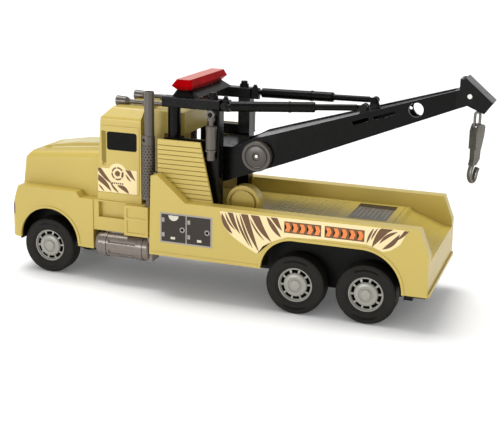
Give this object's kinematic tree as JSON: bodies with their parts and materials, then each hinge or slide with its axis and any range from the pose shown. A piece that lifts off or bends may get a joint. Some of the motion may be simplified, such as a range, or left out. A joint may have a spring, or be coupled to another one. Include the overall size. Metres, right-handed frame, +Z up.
{
  "type": "toy tow truck",
  "caption": "Toy wrecker truck with rolling wheels, a lifting channel boom with telescoping side cylinders, and a knob winch that lowers a hook on a cord.",
  "frame": {"origin": "centre of the whole object's length and width, at the height of the ground under the tyres", "axes": "+X towards the bonnet, +Y towards the truck's left side, where the winch knob is, +Z up"},
  "size_m": [0.4816, 0.1454, 0.2272],
  "materials": {
    "body_sand": "semi-gloss moulded plastic",
    "frame_black": "glossy moulded plastic",
    "chassis_black": "matte moulded plastic",
    "fitting_grey": "satin dark grey plastic",
    "rim_silver": "silver-grey painted plastic",
    "tyre_black": "soft black",
    "lens_red": "clear red plastic",
    "window_dark": "dark smoked plastic",
    "steel": "bright steel",
    "cord_black": "braided cord",
    "grille_black": "matte",
    "lamp_amber": "printed dark red insert"
  },
  "bodies": {
    "truck": {"cab_shell": "body_sand", "window_glazing": "window_dark", "grille": "grille_black", "headlamp_left": "lamp_amber", "headlamp_right": "lamp_amber", "side_tank_left": "fitting_grey", "side_tank_right": "fitting_grey", "exhaust_stack_left": "fitting_grey", "exhaust_stack_right": "fitting_grey", "air_horn_left": "fitting_grey", "air_horn_right": "fitting_grey", "bed_floor": "body_sand", "bed_side_left": "body_sand", "bed_side_right": "body_sand", "chassis": "chassis_black", "chassis_screws": "steel", "tower_side_left": "frame_black", "tower_side_right": "frame_black", "tower_bolts": "frame_black", "sleeve_pins": "frame_black", "boom_pin": "steel", "beacon_base": "chassis_black", "beacon_lens": "lens_red", "canister_left": "fitting_grey", "canister_right": "fitting_grey"},
    "front_wheels": {"front_axle": "steel", "tyre_front_left": "tyre_black", "tyre_front_right": "tyre_black", "rim_front_left": "rim_silver", "rim_front_right": "rim_silver"},
    "middle_wheels": {"middle_axle": "steel", "tyre_middle_left": "tyre_black", "tyre_middle_right": "tyre_black", "rim_middle_left": "rim_silver", "rim_middle_right": "rim_silver"},
    "rear_wheels": {"rear_axle": "steel", "tyre_rear_left": "tyre_black", "tyre_rear_right": "tyre_black", "rim_rear_left": "rim_silver", "rim_rear_right": "rim_silver"},
    "boom": {"boom": "frame_black", "tip_cover": "frame_black", "rod_pins": "frame_black", "tip_pin": "steel", "winch_cord": "cord_black"},
    "winch": {"winch_shaft": "steel", "winch_knob": "fitting_grey", "winch_drum": "frame_black", "winch_coil": "cord_black"},
    "roller": {"tip_roller": "frame_black"},
    "hook_swing": {"drop_cord": "cord_black"},
    "hook": {"cord_knot": "cord_black", "hook_link": "fitting_grey", "hook_block": "fitting_grey", "hook_pin": "steel", "hook": "fitting_grey"},
    "cylinder_left": {"cylinder_sleeve_left": "frame_black"},
    "rod_left": {"cylinder_rod_left": "frame_black"},
    "cylinder_right": {"cylinder_sleeve_right": "frame_black"},
    "rod_right": {"cylinder_rod_right": "frame_black"}
  },
  "joints": [
    {"name": "front_wheels_spin", "type": "hinge", "parent": "truck", "child": "front_wheels", "pos_m": [0.1982, 0, 0.029], "axis": [0, 1, 0], "continuous": true},
    {"name": "middle_wheels_spin", "type": "hinge", "parent": "truck", "child": "middle_wheels", "pos_m": [-0.0768, 0, 0.029], "axis": [0, 1, 0], "continuous": true},
    {"name": "rear_wheels_spin", "type": "hinge", "parent": "truck", "child": "rear_wheels", "pos_m": [-0.1452, 0, 0.029], "axis": [0, 1, 0], "continuous": true},
    {"name": "boom_lift", "type": "hinge", "parent": "truck", "child": "boom", "pos_m": [0.0272, 0, 0.128], "axis": [0, 1, 0], "range_deg": [-12, 4]},
    {"name": "winch_turn", "type": "hinge", "parent": "boom", "child": "winch", "pos_m": [-0.0242, 0, 0.1418], "axis": [0, -1, 0], "range_deg": [0, 800]},
    {"name": "roller_spin", "type": "hinge", "parent": "boom", "child": "roller", "pos_m": [-0.219, 0, 0.2107], "axis": [0, -1, 0], "range_deg": [0, 840]},
    {"name": "hook_sway", "type": "hinge", "parent": "boom", "child": "hook_swing", "pos_m": [-0.2258, 0, 0.2107], "axis": [0, 1, 0], "range_deg": [-12, 35]},
    {"name": "hook_drop", "type": "slide", "parent": "hook_swing", "child": "hook", "axis": [0, 0, -1], "range_m": [0, 0.1], "deforming": ["drop_cord"]},
    {"name": "cylinder_tilt_left", "type": "hinge", "parent": "truck", "child": "cylinder_left", "pos_m": [0.0042, 0.048, 0.1903], "axis": [0, 1, 0], "range_deg": [-16, 6]},
    {"name": "rod_travel_left", "type": "slide", "parent": "cylinder_left", "child": "rod_left", "axis": [-0.9835, -0.1769, 0.0389], "range_m": [-0.008, 0.016]},
    {"name": "cylinder_tilt_right", "type": "hinge", "parent": "truck", "child": "cylinder_right", "pos_m": [0.0042, -0.048, 0.1903], "axis": [0, 1, 0], "range_deg": [-16, 6]},
    {"name": "rod_travel_right", "type": "slide", "parent": "cylinder_right", "child": "rod_right", "axis": [-0.9835, 0.1769, 0.0389], "range_m": [-0.008, 0.016]}
  ],
  "couplings": [
    {"joint": "roller_spin", "follows": "winch_turn", "ratio": 1.0441},
    {"joint": "hook_drop", "follows": "winch_turn", "m_per_rad": 0.0071},
    {"joint": "cylinder_tilt_left", "follows": "boom_lift", "ratio": 1.152},
    {"joint": "rod_travel_left", "follows": "boom_lift", "m_per_rad": -0.0638},
    {"joint": "cylinder_tilt_right", "follows": "boom_lift", "ratio": 1.152},
    {"joint": "rod_travel_right", "follows": "boom_lift", "m_per_rad": -0.0638}
  ]
}
